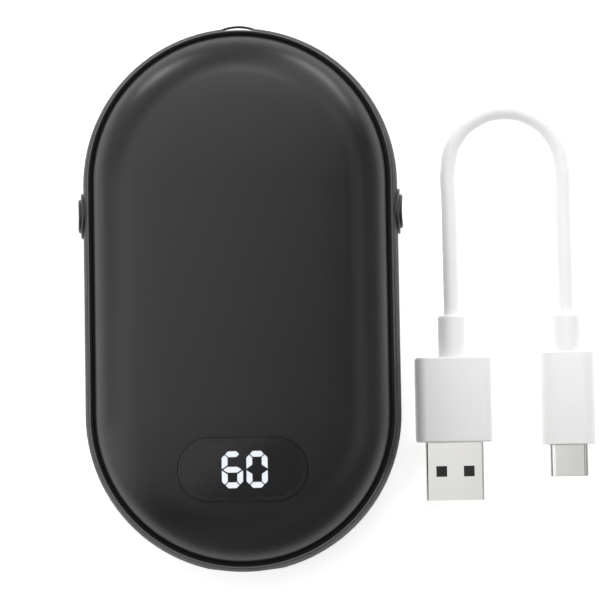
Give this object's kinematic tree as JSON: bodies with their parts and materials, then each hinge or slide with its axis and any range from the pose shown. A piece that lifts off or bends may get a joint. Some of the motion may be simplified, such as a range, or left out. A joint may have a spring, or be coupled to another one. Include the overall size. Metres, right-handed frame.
{
  "type": "rechargeable hand warmer",
  "caption": "Flat rechargeable hand warmer with round ends, a digit display behind a flush window, side push buttons, a lanyard bar, and its short charging cable beside it.",
  "frame": {"origin": "on the surface that the body rests on, under the middle of the body", "axes": "+Z out of the front, +Y along the body towards the lanyard bar, +X to the right as the display is read"},
  "size_m": [0.1065, 0.1117, 0.028],
  "materials": {
    "black_shell": "satin, fine spark-eroded grain",
    "black_frame": "satin",
    "black_trim": "polished",
    "seal_rubber": "matt",
    "smoked_window": "polished",
    "display_black": "matt",
    "lit_white": "lit from behind",
    "unlit_grey": "smooth",
    "tinned_copper": "bright tin",
    "board_green": "solder resist over glass laminate",
    "chip_black": "moulded epoxy",
    "ferrite_grey": "pressed ferrite",
    "nickel_steel": "nickel plated",
    "zinc_steel": "zinc plated",
    "button_black": "satin",
    "plunger_ivory": "satin",
    "polyimide_amber": "smooth film",
    "tray_grey": "satin",
    "cell_foil": "laminated foil",
    "lead_red": "satin",
    "plate_aluminium": "rolled",
    "foam_grey": "open foam",
    "dark_steel": "black oxide",
    "cord_white": "satin",
    "plug_white": "semi-gloss",
    "contact_gold": "gold flash"
  },
  "bodies": {
    "warmer": {"front_cover": "black_shell", "back_cover": "black_shell", "mid_frame": "black_frame", "front_trim_ring": "black_trim", "back_trim_ring": "black_trim", "front_seal": "seal_rubber", "back_seal": "seal_rubber", "display_window": "smoked_window", "display_gasket": "seal_rubber", "display_module": "display_black", "lit_segments": "lit_white", "unlit_segments": "unlit_grey", "display_pins": "tinned_copper", "circuit_board": "board_green", "board_screws": "zinc_steel", "control_chip": "chip_black", "power_inductor": "ferrite_grey", "usb_c_socket_shell": "nickel_steel", "usb_c_socket_tongue": "chip_black", "port_bezel": "black_frame", "left_button_ring": "button_black", "right_button_ring": "button_black", "left_switch": "nickel_steel", "right_switch": "nickel_steel", "left_switch_board": "board_green", "right_switch_board": "board_green", "left_flat_cable": "polyimide_amber", "right_flat_cable": "polyimide_amber", "battery_tray": "tray_grey", "front_battery_cell": "cell_foil", "back_battery_cell": "cell_foil", "protection_board": "board_green", "battery_leads": "lead_red", "thermistor": "chip_black", "front_heat_spreader": "plate_aluminium", "back_heat_spreader": "plate_aluminium", "front_heater_film": "polyimide_amber", "back_heater_film": "polyimide_amber", "front_foam_pad": "foam_grey", "back_foam_pad": "foam_grey", "case_screws": "zinc_steel", "lanyard_bar": "dark_steel"},
    "left_button": {"left_button_cap": "button_black", "left_switch_plunger": "plunger_ivory"},
    "right_button": {"right_button_cap": "button_black", "right_switch_plunger": "plunger_ivory"},
    "cable": {"charging_cable": "cord_white", "usb_a_overmould": "plug_white", "usb_a_strain_relief": "cord_white", "usb_a_shell": "nickel_steel", "usb_a_tongue": "chip_black", "usb_a_contacts": "contact_gold", "usb_c_overmould": "plug_white", "usb_c_strain_relief": "cord_white", "usb_c_shell": "nickel_steel"}
  },
  "joints": [
    {"name": "left_button_press", "type": "slide", "parent": "warmer", "child": "left_button", "axis": [1, 0, 0], "range_m": [0, 0.0005], "stiffness_N_per_m": 3000, "springref_m": -0.0002},
    {"name": "right_button_press", "type": "slide", "parent": "warmer", "child": "right_button", "axis": [-1, 0, 0], "range_m": [0, 0.0005], "stiffness_N_per_m": 3000, "springref_m": -0.0002},
    {"name": "cable_lift", "type": "slide", "parent": "warmer", "child": "cable", "axis": [0, 0, 1], "range_m": [0, 0.04]}
  ]
}
